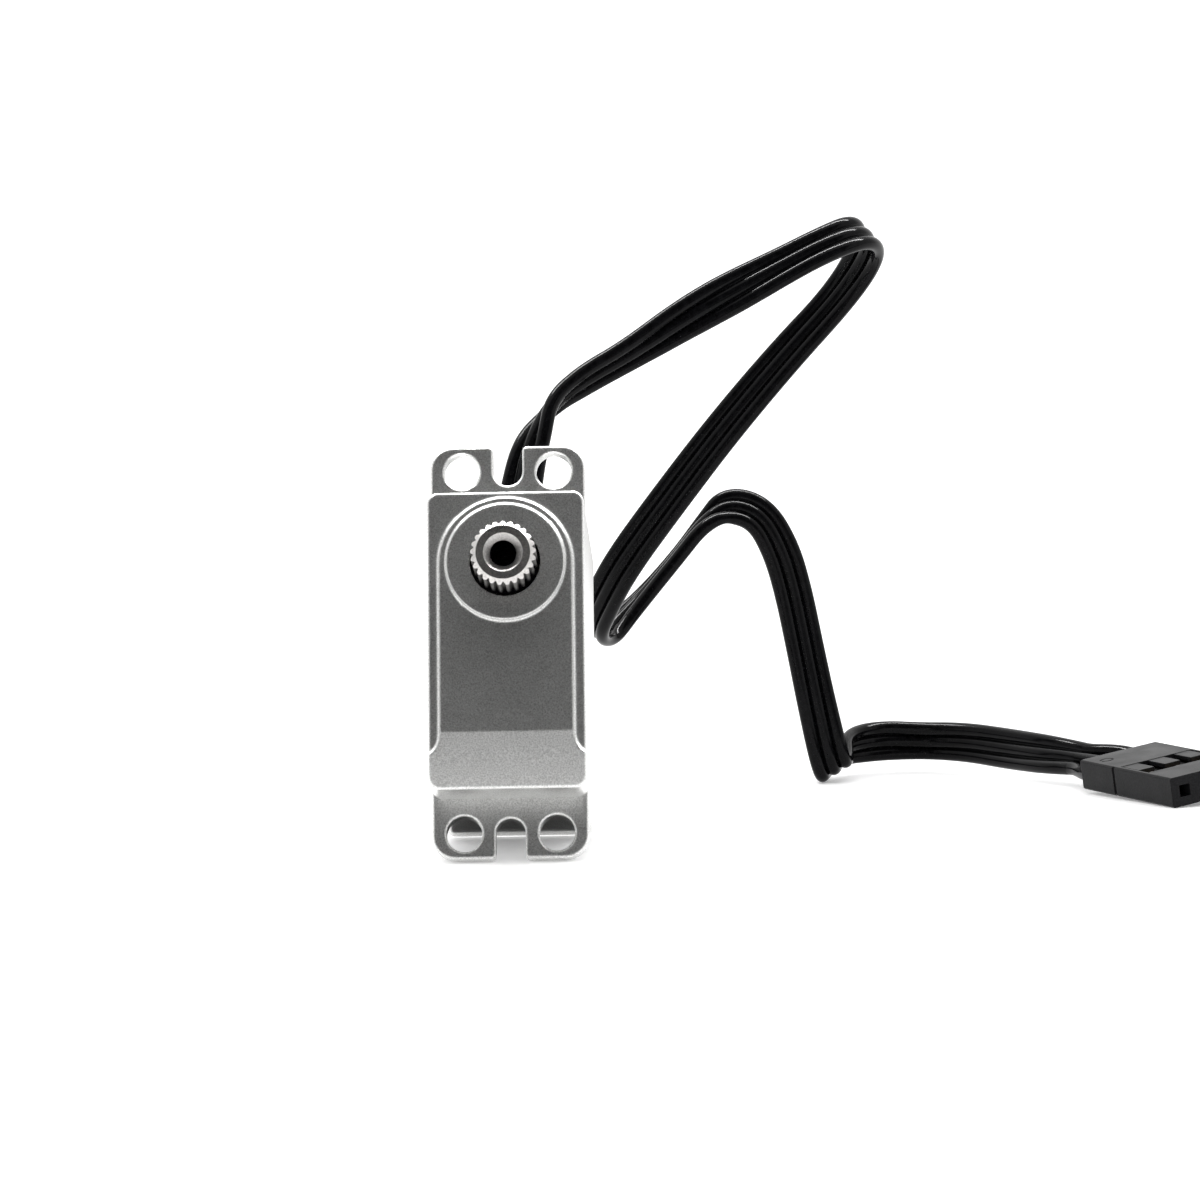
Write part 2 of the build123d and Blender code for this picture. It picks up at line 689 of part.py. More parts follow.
def motor_screws():
    screws = []
    head_top = DECK_TOP + MOTOR_HEAD_HEIGHT
    for side in (-1, 1):
        screw = cylinder(MOTOR_SCREW_RADIUS, DECK_REAR - MOTOR_SCREW_GRIP, DECK_TOP)
        head = cylinder(MOTOR_HEAD_RADIUS, DECK_TOP, head_top)
        screw += chamfer(edges_at(head, head_top), MOTOR_HEAD_CHAMFER)
        screw -= block(MOTOR_SLOT, 3 * MOTOR_HEAD_RADIUS, head_top - MOTOR_SLOT, head_top + 1)
        screws.append(Pos(side * MOTOR_SCREW_X, MOTOR_Y, 0) * screw)
    return screws


# ---------------------------------------------------------------- position sensor

def pot_housing():
    shell = cylinder(POT_RADIUS, POT_REAR, POT_TOP)
    shell -= cylinder(POT_RADIUS - POT_WALL, POT_REAR + POT_FLOOR, POT_TOP - POT_LID)
    for side in (-1, 0, 1):
        shell += block(*POT_PIN, POT_REAR - POT_PIN_LENGTH, POT_REAR, side * POT_PIN_SPACING, POT_PIN_Y)
    return shell - cylinder(POT_LID_HOLE, POT_TOP - 1, POT_TOP + 1)


def pot_track():
    low = POT_REAR + POT_FLOOR
    return ring(TRACK_OUTER, TRACK_INNER, low, low + TRACK_THICK)


def pot_wiper():
    disc_low, disc_top = WIPER_DISC_FACES
    hub = cylinder(WIPER_HUB, disc_low, WIPER_TOP) + cylinder(WIPER_DISC, disc_low, disc_top)
    arm = block(*WIPER_ARM, POT_REAR + WIPER_ARM_GAP, disc_top, 0, WIPER_ARM_Y)
    return hub + arm - flatted_end(FLATTED_END, 0)


# ---------------------------------------------------------------- electronics

def control_board():
    return block(BOARD_WIDTH, BOARD_LENGTH, BOARD_TOP - BOARD_THICK, BOARD_TOP, 0, CASE_MID, BOARD_CORNER)


def board_chips():
    rear = BOARD_TOP - BOARD_THICK
    return [block(width, length, rear - CHIP_THICK, rear, x, y) for x, y, width, length in CHIPS]


def board_capacitor():
    width, length, height = CAPACITOR_SIZE
    return block(width, length, BOARD_TOP, BOARD_TOP + height, *CAPACITOR_PLACE, BOARD_CORNER)


def inner_leads():
    """The three conductors, from the grommet's inner face down to the board."""
    leads = []
    bend = GROMMET_BACK - INNER_LEAD_DROP
    for side in (-1, 0, 1):
        x = side * CONDUCTOR
        points = [(x, GROMMET_BACK, EXIT_Z), (x, bend, EXIT_Z), (x, bend, BOARD_TOP)]
        path = FilletPolyline(*points, radius=INNER_LEAD_BEND)
        leads.append(sweep(Plane(path @ 0, z_dir=path % 0) * Circle(WIRE_RADIUS), path))
    return leads


def wire_grommet():
    """The rubber strain relief in the end wall, with a lip outside."""
    body = exit_opening(GROMMET_BACK, EXIT_Y)
    width, height = EXIT_WIDTH + 2 * GROMMET_OVERLAP, EXIT_HEIGHT + 2 * GROMMET_OVERLAP
    lip_plan = RectangleRounded(width, height, EXIT_CORNER + GROMMET_OVERLAP / 2)
    lip = Pos(0, CASE_END_TOP, EXIT_Z) * Rot(-90, 0, 0) * extrude(lip_plan, GROMMET_LIP)
    outer = [edge for edge in lip.edges() if edge.bounding_box().min.Y > EXIT_Y - TOUCHING]
    return body + chamfer(outer, GROMMET_LIP / 3)


# ---------------------------------------------------------------- stance, lead and plug

def rest_height():
    """How far the servo's own origin stands above the table once it leans."""
    return -(LUG_END * cos(radians(LEAN)) - LUG_THICK * sin(radians(LEAN)))


def front_and_back():
    """The standing servo's extent from front to back, before it is centred."""
    lean = radians(LEAN)
    front = -TIP_FACE_RADIUS * sin(lean) - SHAFT_TIP * cos(lean)
    back = CASE_END_TOP * sin(lean) - CASE_REAR * cos(lean)
    return front, back


FRONT, BACK = front_and_back()
STAND = Pos(0, -(FRONT + BACK) / 2, rest_height()) * Rot(90 - LEAN, 0, 0)


def plug_plane():
    """The plug's own axes as it lies: Z toward the mating end, X across, Y up through its top."""
    forward = Vector(0, 0, 1).rotate(Axis.X, 90 + PLUG_DROP)
    forward = forward.rotate(Axis.Z, PLUG_YAW)
    across = Vector(1, 0, 0).rotate(Axis.Z, PLUG_YAW)
    across = across.rotate(Axis((0, 0, 0), tuple(forward)), PLUG_ROLL)
    return Plane(PLUG_REAR_CENTRE, x_dir=across, z_dir=forward)


def servo_lead():
    """One round tube, as wide as the flat cord, along the lead's route."""
    start = STAND * Pos(0, EXIT_Y, EXIT_Z)
    points = [tuple(start.position)] + ROUTE + [PLUG_REAR_CENTRE]
    runs = [Vector(*b) - Vector(*a) for a, b in zip(points, points[1:])]
    radii = []
    for before, after in zip(runs, runs[1:]):
        turn = radians(before.get_angle(after))
        radii.append(ARC_SHARE * min(before.length, after.length) / tan(turn / 2))
    path = FilletPolyline(*points, radius=radii)
    section = Plane(path @ 0, z_dir=path % 0) * Circle(CORD_WIDTH / 2)
    tube = sweep(section, path)
    expected = pi * (CORD_WIDTH / 2) ** 2 * path.length
    print("lead radii", [round(radius, 1) for radius in radii])
    print("lead length", round(path.length, 2), "volume ratio", round(tube.volume / expected, 4))
    return tube


def plug_housing():
    """A flat three-way socket housing, with three latch tongues in a window in its top face."""
    body = extrude(Rectangle(PLUG_WIDTH, PLUG_HEIGHT), PLUG_LENGTH)
    body = chamfer(body.edges().filter_by(Axis.Z), PLUG_CHAMFER)
    groove = block(PLUG_WIDTH + 1, PLUG_HEIGHT + 1, GROOVE_AT, GROOVE_AT + GROOVE_WIDTH)
    kept_height = PLUG_HEIGHT - GROOVE_DEPTH + 1
    groove -= block(PLUG_WIDTH - 2 * GROOVE_DEPTH, kept_height, 0, PLUG_LENGTH, 0, 0.5 + GROOVE_DEPTH / 2)
    body -= groove
    top = PLUG_HEIGHT / 2
    window_start, window_end = WINDOW_ENDS
    body -= block(WINDOW_WIDTH, 2 * WINDOW_DEPTH, window_start, window_end, 0, top)
    latch_y = top - LATCH_SINK - LATCH_THICK / 2
    for number in (-1, 0, 1):
        x = number * PLUG_PITCH
        body -= block(CAVITY_WIDTH, CAVITY_HEIGHT, -1, PLUG_LENGTH - SOCKET_DEPTH, x)
        body -= block(SOCKET, SOCKET, 0, PLUG_LENGTH + 1, x)
        body += block(LATCH_WIDTH, LATCH_THICK, window_start - 1, LATCH_END, x, latch_y)
    mark_x, mark_z = MARK_PLACE
    mark = ring(MARK_RADIUS, MARK_RADIUS - MARK_LINE, top - MARK_DEPTH, top + 1, mark_x, -mark_z)
    return plug_plane() * (body - Rot(-90, 0, 0) * mark)


def plug_terminals():
    """The three crimped metal sleeves inside the plug."""
    sleeves = []
    for number in (-1, 0, 1):
        x = number * PLUG_PITCH
        sleeve = block(TERMINAL_OUTER, TERMINAL_OUTER, TERMINAL_START, TERMINAL_END, x)
        sleeve -= block(TERMINAL_INNER, TERMINAL_INNER, 0, PLUG_LENGTH, x)
        sleeves.append(plug_plane() * sleeve)
    return sleeves


def lead_tails():
    """The conductors fanned out inside the plug, from its rear face to the terminals."""
    places = [number * PLUG_PITCH for number in (-1, 0, 1)]
    return [plug_plane() * cylinder(WIRE_RADIUS, 0, TERMINAL_START, x) for x in places]


SERVO_PIECES = {
    "top_case": top_case,
    "middle_case": middle_case,
    "bottom_case": bottom_case,
    "top_seal": lambda: seal_ring(0, SEAL_THICK),
    "bottom_seal": lambda: seal_ring(REAR_SPLIT - SEAL_THICK, REAR_SPLIT),
    "case_screws": case_screws,
    "output_shaft": output_shaft,
    "first_gear": first_gear,
    "second_gear": second_gear,
    "third_gear": third_gear,
    "gear_pin": gear_pin,
    "motor_can": motor_can,
    "motor_magnet": motor_magnet,
    "motor_coil": motor_coil,
    "motor_shaft": motor_shaft,
    "motor_pinion": motor_pinion,
    "motor_end_cap": motor_end_cap,
    "motor_terminals": motor_terminals,
    "motor_screws": motor_screws,
    "pot_housing": pot_housing,
    "pot_track": pot_track,
    "pot_wiper": pot_wiper,
    "control_board": control_board,
    "board_chips": board_chips,
    "board_capacitor": board_capacitor,
    "inner_leads": inner_leads,
    "wire_grommet": wire_grommet,
}
for bearing_name in BEARINGS:
    SERVO_PIECES[bearing_name + "_bearing_outer_ring"] = lambda name=bearing_name: bearing_outer(name)
    SERVO_PIECES[bearing_name + "_bearing_inner_ring"] = lambda name=bearing_name: bearing_inner(name)
    SERVO_PIECES[bearing_name + "_bearing_balls"] = lambda name=bearing_name: bearing_balls(name)

LEAD_PIECES = {
    "servo_lead": servo_lead,
    "plug_housing": plug_housing,
    "plug_terminals": plug_terminals,
    "lead_tails": lead_tails,
}


def write(name, made, place):
    """Writes one node, whether it is one solid or several."""
    solids = made if isinstance(made, list) else [made]
    solids = [solid for shape in solids for solid in (place * shape).solids()]
    piece = solids[0] if len(solids) == 1 else Compound(children=solids)
    piece.label = name
    export_step(piece, "parts/" + name + ".step")


os.makedirs("parts", exist_ok=True)
for name, make in SERVO_PIECES.items():
    write(name, make(), STAND)
for name, make in LEAD_PIECES.items():
    write(name, make(), Location())
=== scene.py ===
import json
from math import acos, cos, pi, radians, sin

import bmesh
import bpy
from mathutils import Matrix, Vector


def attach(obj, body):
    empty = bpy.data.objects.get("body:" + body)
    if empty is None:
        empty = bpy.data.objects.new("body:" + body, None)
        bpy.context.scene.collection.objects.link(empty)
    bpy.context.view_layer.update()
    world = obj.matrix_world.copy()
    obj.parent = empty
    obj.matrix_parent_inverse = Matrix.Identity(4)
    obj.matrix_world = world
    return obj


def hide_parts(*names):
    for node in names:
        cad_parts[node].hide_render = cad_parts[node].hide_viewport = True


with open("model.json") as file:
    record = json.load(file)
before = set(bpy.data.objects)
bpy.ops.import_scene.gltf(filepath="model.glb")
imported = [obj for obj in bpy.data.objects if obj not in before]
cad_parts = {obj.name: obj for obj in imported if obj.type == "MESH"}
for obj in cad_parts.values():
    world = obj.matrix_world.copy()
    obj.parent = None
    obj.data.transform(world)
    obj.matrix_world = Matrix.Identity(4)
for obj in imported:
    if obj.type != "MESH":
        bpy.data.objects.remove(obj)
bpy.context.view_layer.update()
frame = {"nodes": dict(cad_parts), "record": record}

MM = 0.001
WHITE = (1, 1, 1, 1)

# ---- camera ----
CAMERA_PLACE = (0.01947, -0.43270, 0.05108)
CAMERA_TURN = (85.797, 1.150, 1.582)
SENSOR = 36.0
LENS = 167.15
CLIP_START = 0.01

# ---- lead: three conductors side by side ----
CONDUCTOR = 1.15 * MM
# A little over half a conductor, so that neighbours run into each other.
CONDUCTOR_RADIUS = 0.52 * CONDUCTOR
SIDES = (-1, 0, 1)
STEPS_PER_RUN = 12
ARC_STEPS = 9
ROUND_STEPS = 16
FAN_LENGTH = 5.5 * MM
PLUG_PITCH = 2.54 * MM
# A point of the outline this near its middle line is on it.
ON_THE_LINE = 1e-7

# The lead's route in millimetres, as its spline's control points. With each goes the direction across
# the cord there, from its first conductor to its third.
ROUTE = [
    ((0.0, 8.476, 24.291), (1, 0, 0)),
    ((0.6, 9.75, 28.3), (1, -0.4, 0)),
    ((1.4, 11.04, 31.4), (0.8, -0.6, 0.1)),
    ((2.95, 12.64, 34.2), (-0.1, -0.98, 0.2)),
    ((5.6, 14.1, 36.0), (-0.34, -0.83, 0.43)),
    ((9.2, 15.24, 37.9), (-0.34, -0.8, 0.5)),
    ((14.53, 16.24, 41.15), (-0.48, -0.3, 0.82)),
    ((20.78, 17.04, 44.3), (-0.38, 0.55, 0.74)),
    ((25.2, 17.9, 46.5), (-0.35, 0.65, 0.65)),
    ((28.2, 20.0, 47.5), (-0.55, 0.45, 0.66)),
    ((28.9, 23.6, 46.1), (-0.64, 0.35, 0.62)),
    ((26.5, 26.2, 42.2), (-0.56, 0.66, 0.48)),
    ((21.6, 26.44, 37.1), (-0.62, 0.57, 0.53)),
    ((16.3, 27.24, 31.0), (-0.64, 0.5, 0.56)),
    ((11.44, 28.24, 24.8), (-0.7, 0.45, 0.55)),
    ((8.0, 29.44, 20.2), (-0.7, 0.45, 0.5)),
    ((6.3, 31.24, 17.2), (-0.7, 0.5, 0.5)),
    ((5.0, 34.2, 14.3), (-0.6, 0.65, 0.45)),
    ((6.2, 37.8, 13.6), (-0.4, 0.85, 0.35)),
    ((9.1, 39.8, 16.2), (-0.15, 1, 0.1)),
    ((12.4, 40.3, 19.9), (-0.05, 1, 0.05)),
    ((14.6, 40.4, 22.7), (-0.05, 0.98, 0.15)),
    ((16.8, 40.7, 24.3), (0, 0.6, 0.8)),
    ((19.5, 41.0, 23.4), (0.45, 0.5, 0.8)),
    ((21.2, 41.5, 20.3), (0.85, 0.45, 0.4)),
    ((22.2, 42.0, 16.6), (0.9, 0.45, 0.2)),
    ((23.1, 42.2, 11.8), (0.9, 0.45, 0.1)),
    ((24.0, 42.2, 7.0), (0.9, 0.35, 0.2)),
    ((25.2, 42.4, 1.3), (0.85, 0.05, 0.53)),
    ((25.6, 44.4, 1.2), (0.85, -0.1, 0.5)),
    ((26.0, 48.4, 2.5), (0.4, -0.3, 0.9)),
    ((29.2, 51.2, 2.8), (0, 0, 1)),
    ((33.3, 51.4, 2.7), (0, -0.4, 0.9)),
    ((37.0, 49.0, 2.75), (0, -0.2, 1)),
    ((40.4, 45.2, 2.5), (0, 0.3, 0.95)),
    ((43.4, 40.9, 2.4), (0.2, 0.5, 0.85)),
    ((46.8, 37.4, 2.2), (0.6, 0.5, 0.5)),
    ((49.28, 33.25, 2.15), (0.87, 0.47, 0.15)),
]

# ---- finishes, one for each of the record's material slots ----
# dark and light are the ends of the grain's colours, and rough is the range of the roughness.
# grain and blotch are repeats per metre. height is the grain's depth, and edge how far corners are rounded.
# gloss is the shader's specular level, and the hollow shade key paints shade into bores and grooves, darker
# the less open they are.
FINISHES = {
    "case_metal": {
        "dark": (0.54, 0.54, 0.53), "light": (0.88, 0.88, 0.87), "metallic": 1.0, "rough": (0.34, 0.37),
        "grain": 9000, "height": 0.01 * MM, "blotch": 900, "edge": 0.22 * MM,
    },
    "steel": {
        "dark": (0.44, 0.43, 0.42), "light": (0.64, 0.62, 0.60), "metallic": 1.0, "rough": (0.24, 0.34),
        "grain": 7000, "height": 0.005 * MM, "edge": 0.05 * MM, "painted_hollow_shade": True,
    },
    "motor_steel": {
        "dark": (0.55, 0.54, 0.52), "light": (0.68, 0.67, 0.65), "metallic": 1.0, "rough": (0.2, 0.3),
        "grain": 5000, "height": 0.004 * MM, "stretch": (0.1, 1, 1),
    },
    "magnet": {
        "dark": (0.10, 0.10, 0.11), "light": (0.2, 0.2, 0.21), "metallic": 0.8, "rough": (0.4, 0.55),
        "grain": 6000, "height": 0.005 * MM,
    },
    "brass": {
        "dark": (0.62, 0.42, 0.15), "light": (0.80, 0.58, 0.25), "metallic": 1.0, "rough": (0.2, 0.32),
        "grain": 6000, "height": 0.004 * MM, "painted_hollow_shade": True,
    },
    "copper_winding": {
        "dark": (0.45, 0.16, 0.06), "light": (0.70, 0.30, 0.12), "metallic": 1.0, "rough": (0.3, 0.4),
        "grain": 3000, "height": 0.02 * MM, "stretch": (1, 6, 1),
    },
    "seal_rubber": {
        "dark": (0.012, 0.012, 0.012), "light": (0.03, 0.03, 0.03), "metallic": 0.0, "rough": (0.55, 0.7),
        "grain": 8000, "height": 0.01 * MM,
    },
    "lead_jacket": {
        "dark": (0.001, 0.001, 0.0012), "light": (0.003, 0.003, 0.0035), "metallic": 0.0,
        "rough": (0.12, 0.17), "grain": 2500, "height": 0.0005 * MM, "blotch": 150, "gloss": 0.08,
    },
    "plug_plastic": {
        "dark": (0.004, 0.004, 0.0045), "light": (0.010, 0.010, 0.011), "metallic": 0.0,
        "rough": (0.34, 0.44), "grain": 7000, "height": 0.008 * MM, "edge": 0.1 * MM, "gloss": 0.08,
    },
    "inner_plastic": {
        "dark": (0.02, 0.02, 0.02), "light": (0.05, 0.05, 0.05), "metallic": 0.0, "rough": (0.45, 0.6),
        "grain": 6000, "height": 0.01 * MM,
    },
    "board": {
        "dark": (0.01, 0.10, 0.04), "light": (0.02, 0.20, 0.08), "metallic": 0.0, "rough": (0.25, 0.4),
        "grain": 2000, "height": 0.01 * MM,
    },
    "capacitor": {
        "dark": (0.55, 0.40, 0.15), "light": (0.7, 0.52, 0.22), "metallic": 0.0, "rough": (0.4, 0.5),
        "grain": 5000, "height": 0.01 * MM,
    },
}

# The part of a noise pattern's range that is used.
PATTERN_RANGE = (0.3, 0.7)
FINE_DETAIL = 2
BROAD_DETAIL = 4
BEVEL_SAMPLES = 6
# Painted shade in bores and grooves, worked out from how open the surface is.
HOLLOW_SHADE_SAMPLES = 8
HOLLOW_SHADE_REACH = 2.5 * MM
# Painted shade in hollows: how open a place is where it is darkest and where it has its full colour, and
# the colour's share there.
HOLLOW_SHADE_RANGE = (0.35, 0.95)
HOLLOW_SHADE_SHARE = (0.03, 1.0)

# ---- studio ----
FLOOR_SIZE = 6.0
FLOOR_COLOUR = (0.95, 0.95, 0.95)
FLOOR_ROUGHNESS = 0.55
FLOOR_GLOSS = 0.2
FLOOR_GLOW = 0.22
WORLD_STRENGTH = 1.5

# Cards that only reflections see: name, centre in metres, turn in degrees, width, height and brightness.
CARDS = [
    ("front_card", (0.0, -0.9, 0.88), (90, 0, 0), 4.4, 1.7, 0.06),
    ("back_box", (0.1, 0.9, 0.9), (45, 0, 0), 1.8, 0.4, 10.0),
    ("top_strip", (0.1, 0.22, 0.9), (0, 0, 0), 1.4, 0.09, 90.0),
    # Painted shade: a dark card under the case stands in for the shade there, and the case's end wall shows
    # it in its reflections.
    ("under_shade_card", (0.0, -0.0015, 0.0004), (0, 0, 0), 0.011, 0.0145, 0.03),
    ("floor_card", (0.0, -0.49, 0.001), (0, 0, 0), 4.4, 0.87, 0.3),
    ("left_box", (-1.0, 0.0, 0.45), (0, 90, 0), 0.9, 1.3, 1.1),
    ("right_box", (1.1, 0.0, 0.45), (0, 90, 0), 0.9, 1.3, 1.1),
]


# ---------------------------------------------------------------- materials

def tree(material):
    """A material's nodes and the links between them."""
    return material.node_tree.nodes, material.node_tree.links


def new_material(name, colour, metallic=0.0, roughness=0.5):
    """A plain material, and its shader."""
    material = bpy.data.materials.new(name)
    material.use_nodes = True
    shader = material.node_tree.nodes["Principled BSDF"]
    shader.inputs["Base Color"].default_value = (*colour, 1)
    shader.inputs["Metallic"].default_value = metallic
    shader.inputs["Roughness"].default_value = roughness
    return material, shader


def noise(material, scale, detail, stretch):
    """A noise pattern in the object's own metres. Scale is repeats per metre."""
    nodes, wires = tree(material)
    where = nodes.new("ShaderNodeTexCoord")
    mapping = nodes.new("ShaderNodeMapping")
    mapping.inputs["Scale"].default_value = stretch
    pattern = nodes.new("ShaderNodeTexNoise")
    pattern.inputs["Scale"].default_value = scale
    pattern.inputs["Detail"].default_value = detail
    wires.new(where.outputs["Object"], mapping.inputs["Vector"])
    wires.new(mapping.outputs["Vector"], pattern.inputs["Vector"])
    return pattern.outputs["Fac"]


def spread(material, source, before, after):
    """Maps one range of numbers to another."""
    nodes, wires = tree(material)
    ranger = nodes.new("ShaderNodeMapRange")
    for name, value in zip(("From Min", "From Max", "To Min", "To Max"), (*before, *after)):
        ranger.inputs[name].default_value = value
    wires.new(source, ranger.inputs["Value"])
    return ranger.outputs["Result"]


def tint(material, source, dark, light):
    """Maps a pattern to a blend of two colours."""
    nodes, wires = tree(material)
    ramp = nodes.new("ShaderNodeValToRGB")
    for stop, position, colour in zip(ramp.color_ramp.elements, PATTERN_RANGE, (dark, light)):
        stop.position = position
        stop.color = (*colour, 1)
    wires.new(source, ramp.inputs["Fac"])
    return ramp.outputs["Color"]


def bump(material, source, distance):
    """A bump node that raises the surface by a pattern."""
    nodes, wires = tree(material)
    bumps = nodes.new("ShaderNodeBump")
    bumps.inputs["Distance"].default_value = distance
    bumps.inputs["Strength"].default_value = 1.0
    wires.new(source, bumps.inputs["Height"])
    return bumps


def round_corners(material, bumps, radius):
    """Makes sharp edges catch the light as if they had this radius."""
    nodes, wires = tree(material)
    rounded = nodes.new("ShaderNodeBevel")
    rounded.samples = BEVEL_SAMPLES
    rounded.inputs["Radius"].default_value = radius
    wires.new(rounded.outputs["Normal"], bumps.inputs["Normal"])


def paint_hollow_shade(material, shader):
    """Paints shade into bores and grooves: multiplies the colour by how open the surface is, so that they
    go dark.
    """
    nodes, wires = tree(material)
    colour = shader.inputs["Base Color"].links[0].from_socket
    openness = nodes.new("ShaderNodeAmbientOcclusion")
    openness.samples = HOLLOW_SHADE_SAMPLES
    openness.inputs["Distance"].default_value = HOLLOW_SHADE_REACH
    mix = nodes.new("ShaderNodeMix")
    mix.data_type = "RGBA"
    mix.blend_type = "MULTIPLY"
    mix.inputs["Factor"].default_value = 1.0
    plain, scale = [socket for socket in mix.inputs if socket.type == "RGBA"]
    wires.new(colour, plain)
    wires.new(spread(material, openness.outputs["AO"], HOLLOW_SHADE_RANGE, HOLLOW_SHADE_SHARE), scale)
    product = [socket for socket in mix.outputs if socket.type == "RGBA"][0]
    wires.new(product, shader.inputs["Base Color"])


def textured(name, dark, light, metallic, rough, grain, height, blotch=400, stretch=(1, 1, 1), edge=0.0,
             gloss=0.5, painted_hollow_shade=False):
    """A material with fine grain in its colour and relief, and slow change in its roughness."""
    material, shader = new_material(name, dark, metallic)
    wires = material.node_tree.links
    broad = noise(material, blotch, BROAD_DETAIL, stretch)
    fine = noise(material, grain, FINE_DETAIL, stretch)
    wires.new(tint(material, fine, dark, light), shader.inputs["Base Color"])
    wires.new(spread(material, broad, PATTERN_RANGE, rough), shader.inputs["Roughness"])
    bumps = bump(material, fine, height)
    if edge:
        round_corners(material, bumps, edge)
    wires.new(bumps.outputs["Normal"], shader.inputs["Normal"])
    # Painted shade: bores and grooves are darkened by how open they are.
    if painted_hollow_shade:
        paint_hollow_shade(material, shader)
    shader.inputs["Specular IOR Level"].default_value = gloss
    return material


def paint_cad():
    """Gives each CAD node the material of the record's slot."""
    slots = {entry["node"]: entry["material_slot"] for entry in frame["record"]["subparts"]}
    for name, node in frame["nodes"].items():
        node.data.materials.clear()
        node.data.materials.append(MATERIALS[slots[name]])


# ---------------------------------------------------------------- lead

def route_spline():
    """The lead's centre line: one smooth curve with the route's points as its control points."""
    curve = bpy.data.curves.new("lead_line", "CURVE")
    curve.dimensions = "3D"
    spline = curve.splines.new("NURBS")
    spline.points.add(len(ROUTE) - 1)
    for point, (place, _) in zip(spline.points, ROUTE):
        point.co = (*(Vector(place) * MM), 1)
    spline.order_u = 3
    spline.use_endpoint_u = True
    spline.resolution_u = STEPS_PER_RUN
    line = bpy.data.objects.new("lead_line", curve)
    bpy.context.scene.collection.objects.link(line)
    mesh = bpy.data.meshes.new_from_object(line)
    points = [vertex.co.copy() for vertex in mesh.vertices]
    bpy.data.objects.remove(line)
    return points


def across_at(share):
    """The direction across the cord, blended along the route in the same way as its points."""
    spans = len(ROUTE) - 2
    first = min(int(share * spans), spans - 1)
    step = share * spans - first
    before = (1 - step) ** 2 * (1.0 if first == 0 else 0.5)
    after = step ** 2 * (1.0 if first == spans - 1 else 0.5)
    weights = (before, 1 - before - after, after)
    total = Vector((0, 0, 0))
    for weight, (_, across) in zip(weights, ROUTE[first:first + 3]):
        total += Vector(across).normalized() * weight
    return total.normalized()


def axes_at(points, number):
    """The directions across and up from the cord, at one of its points."""
    last = len(points) - 1
    ahead = points[min(number + 1, last)] - points[max(number - 1, 0)]
    ahead.normalize()
    across = across_at(number / last)
    across = (across - ahead * across.dot(ahead)).normalized()
    return across, across.cross(ahead)


def flat_outline():
    """The flat cord's section, as (across, up) pairs: three round conductors joined in a row."""
    cut = acos(0.5 * CONDUCTOR / CONDUCTOR_RADIUS)
    top = []
    for side in SIDES:
        start = pi if side == SIDES[0] else pi - cut
        end = 0 if side == SIDES[-1] else cut
        for step in range(ARC_STEPS + 1):
            angle = start + (end - start) * step / ARC_STEPS
            x = side * CONDUCTOR + CONDUCTOR_RADIUS * cos(angle)
            top.append((x, CONDUCTOR_RADIUS * sin(angle)))
    bottom = [(x, -y) for x, y in reversed(top) if abs(y) > ON_THE_LINE]
    return top + bottom


def round_outline():
    """One conductor's section, as (across, up) pairs."""
    angles = [2 * pi * step / ROUND_STEPS for step in range(ROUND_STEPS)]
    return [(CONDUCTOR_RADIUS * cos(angle), CONDUCTOR_RADIUS * sin(angle)) for angle in angles]


def ring_at(cord, points, number, outline, shift=0.0):
    """A ring of corners round the cord at one of its points, moved across by a shift."""
    across, up = axes_at(points, number)
    middle = points[number] + across * shift
    return [cord.verts.new(middle + across * x + up * y) for x, y in outline]


def skin(cord, rings):
    """Closes a row of rings into one tube. The ends keep sharp edges."""
    count = len(rings[0])
    for before, after in zip(rings, rings[1:]):
        for number in range(count):
            following = (number + 1) % count
            cord.faces.new((before[number], before[following], after[following], after[number]))
    for ring in (rings[0], list(reversed(rings[-1]))):
        for edge in cord.faces.new(ring).edges:
            edge.smooth = False


def fan_start(points):
    """The number of the point where the three conductors part."""
    left = 0.0
    number = len(points) - 1
    while left < FAN_LENGTH:
        left += (points[number] - points[number - 1]).length
        number -= 1
    return number


def fan_shift(share):
    """How far apart the conductors are along the fan, from side by side to the plug's pitch."""
    eased = share * share * (3 - 2 * share)
    return CONDUCTOR + (PLUG_PITCH - CONDUCTOR) * eased


def ribbon(points):
    """The lead's mesh: a flat cord, then its three conductors fanning out to the plug."""
    cord = bmesh.new()
    parting = fan_start(points)
    runs = len(points) - 1 - parting
    outline = flat_outline()
    skin(cord, [ring_at(cord, points, number, outline) for number in range(parting + 1)])
    outline = round_outline()
    for side in SIDES:
        rings = []
        for step in range(runs + 1):
            shift = side * fan_shift(step / runs)
            rings.append(ring_at(cord, points, parting + step, outline, shift))
        skin(cord, rings)
    bmesh.ops.recalc_face_normals(cord, faces=cord.faces)
    for face in cord.faces:
        face.smooth = True
    mesh = bpy.data.meshes.new("servo_lead_cord")
    cord.to_mesh(mesh)
    cord.free()
    return mesh


def make_lead():
    points = route_spline()
    lead = bpy.data.objects.new("servo_lead_cord", ribbon(points))
    bpy.context.scene.collection.objects.link(lead)
    lead.data.materials.append(MATERIALS["lead_jacket"])
    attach(lead, "case")
    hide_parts("servo_lead")


# ---------------------------------------------------------------- stage

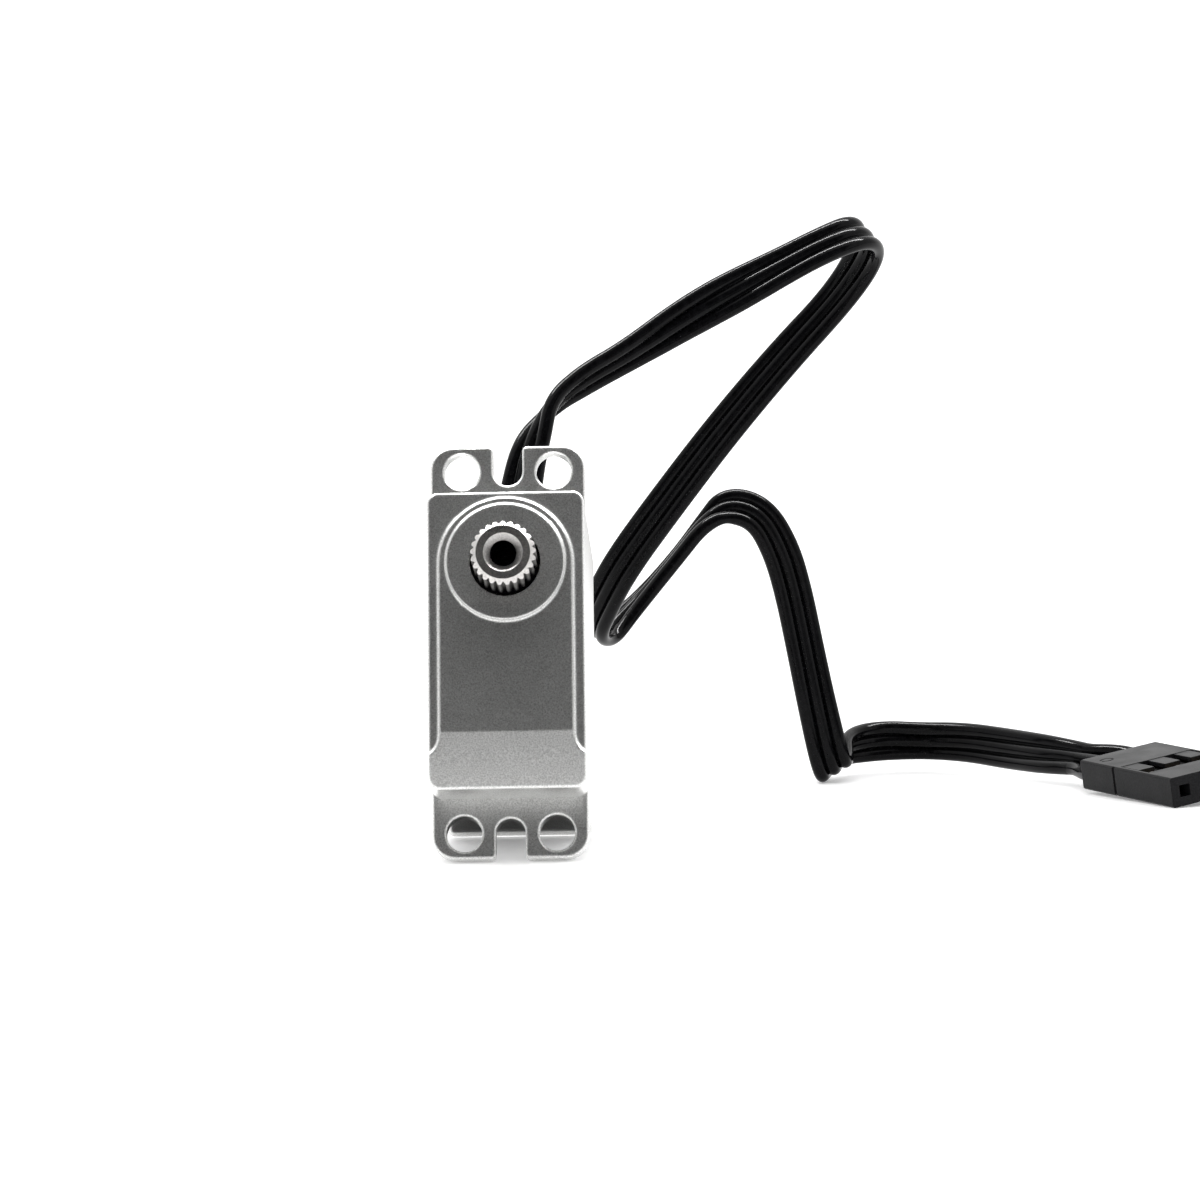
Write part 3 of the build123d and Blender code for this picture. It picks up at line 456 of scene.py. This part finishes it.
def rectangle(name, width, height):
    """A flat rectangle round its own origin."""
    x, y = width / 2, height / 2
    mesh = bpy.data.meshes.new(name)
    mesh.from_pydata([(-x, -y, 0), (x, -y, 0), (x, y, 0), (-x, y, 0)], [], [(0, 1, 2, 3)])
    flat = bpy.data.objects.new(name, mesh)
    bpy.context.scene.collection.objects.link(flat)
    return flat


def make_floor():
    floor = rectangle("floor", FLOOR_SIZE, FLOOR_SIZE)
    material, shader = new_material("floor_white", FLOOR_COLOUR, 0.0, FLOOR_ROUGHNESS)
    shader.inputs["Specular IOR Level"].default_value = FLOOR_GLOSS
    shader.inputs["Emission Color"].default_value = WHITE
    shader.inputs["Emission Strength"].default_value = FLOOR_GLOW
    floor.data.materials.append(material)


def make_card(name, place, turn, width, height, shade):
    """A flat card that only reflections see."""
    card = rectangle(name, width, height)
    card.location = place
    card.rotation_euler = [radians(angle) for angle in turn]
    material = bpy.data.materials.new(name)
    material.use_nodes = True
    nodes, wires = tree(material)
    glow = nodes.new("ShaderNodeEmission")
    glow.inputs["Color"].default_value = (shade, shade, shade, 1)
    wires.new(glow.outputs["Emission"], nodes["Material Output"].inputs["Surface"])
    card.data.materials.append(material)
    card.visible_camera = False
    card.visible_diffuse = False
    card.visible_shadow = False
    card.visible_transmission = False


def make_world():
    world = bpy.data.worlds.new("studio")
    world.use_nodes = True
    backdrop = world.node_tree.nodes["Background"]
    backdrop.inputs["Color"].default_value = WHITE
    backdrop.inputs["Strength"].default_value = WORLD_STRENGTH
    bpy.context.scene.world = world


def make_camera():
    data = bpy.data.cameras.new("camera")
    data.sensor_width = SENSOR
    data.lens = LENS
    data.clip_start = CLIP_START
    camera = bpy.data.objects.new("camera", data)
    camera.location = CAMERA_PLACE
    camera.rotation_euler = [radians(angle) for angle in CAMERA_TURN]
    bpy.context.scene.collection.objects.link(camera)
    bpy.context.scene.camera = camera


MATERIALS = {name: textured(name, **finish) for name, finish in FINISHES.items()}
paint_cad()
make_lead()
make_floor()
for row in CARDS:
    make_card(*row)
make_world()
make_camera()
bpy.context.scene.view_settings.view_transform = "Standard"
